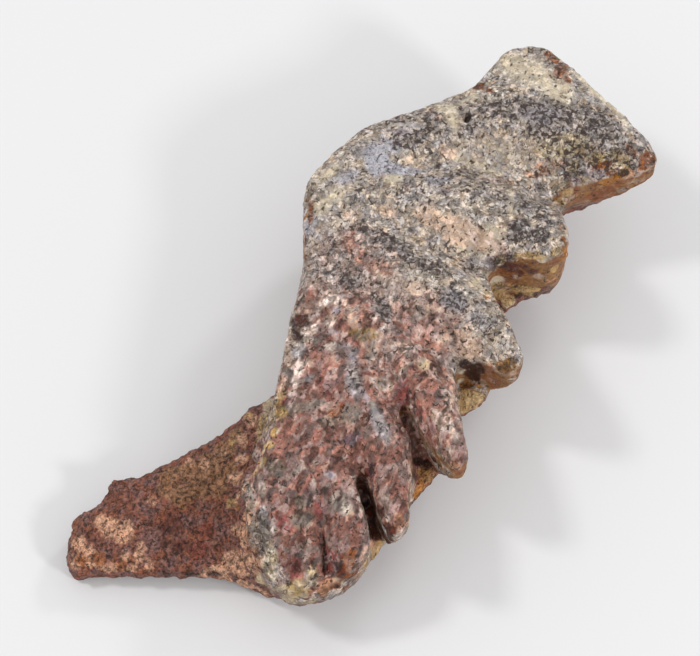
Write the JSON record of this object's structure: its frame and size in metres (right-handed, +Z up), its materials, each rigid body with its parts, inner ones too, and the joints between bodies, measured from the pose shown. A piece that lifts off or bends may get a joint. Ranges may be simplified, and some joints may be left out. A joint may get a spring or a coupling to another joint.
{
  "type": "fossil lungfish tooth plate",
  "caption": "Fossil tooth plate of a lungfish: ridges fan out over a speckled grey, cream and red-brown chewing face, on a broken piece of porous red-brown jaw bone",
  "frame": {"origin": "centre of the plate's bounding box, at the height of the flat face it rests on", "axes": "+X runs along the crown from its rounded heel to its pointed tip, +Y towards the smooth inner margin, +Z up out of the chewing face"},
  "size_m": [0.0352, 0.0176, 0.0084],
  "materials": {
    "fossil": "matt, finely pitted dentine over porous bone"
  },
  "bodies": {
    "root": {"tooth_plate": "fossil"}
  },
  "joints": []
}
